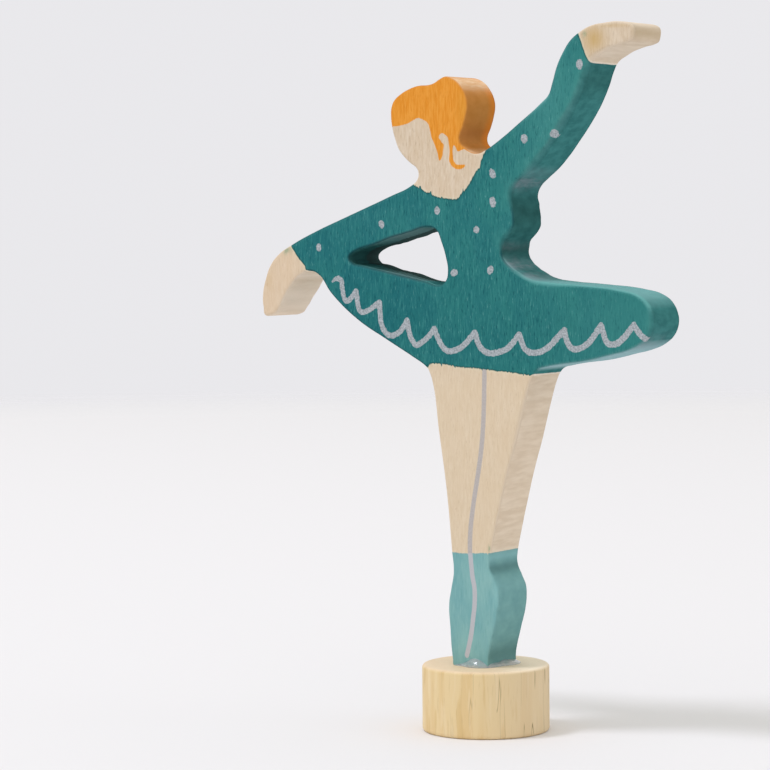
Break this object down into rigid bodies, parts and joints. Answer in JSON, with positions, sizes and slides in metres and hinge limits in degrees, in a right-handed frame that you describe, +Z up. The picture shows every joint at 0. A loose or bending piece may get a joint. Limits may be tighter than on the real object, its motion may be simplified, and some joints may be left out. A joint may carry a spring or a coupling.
{
  "type": "ballerina figurine",
  "caption": "Flat wooden dancer sawn from a board, stained and painted, glued upright on a small turned wooden disc that it stands on.",
  "frame": {"origin": "centre of the disc's flat underside", "axes": "+Z up, -Y out of the painted front, +X towards the side of the raised arm"},
  "size_m": [0.0722, 0.02, 0.1097],
  "materials": {
    "turned_wood": "raw, finely turned",
    "stained_board": "matt water stain, bare wood on skin and legs",
    "clear_glue": "clear, glossy"
  },
  "bodies": {
    "root": {"base": "turned_wood", "figure": "stained_board", "glue_bead": "clear_glue"}
  },
  "joints": []
}
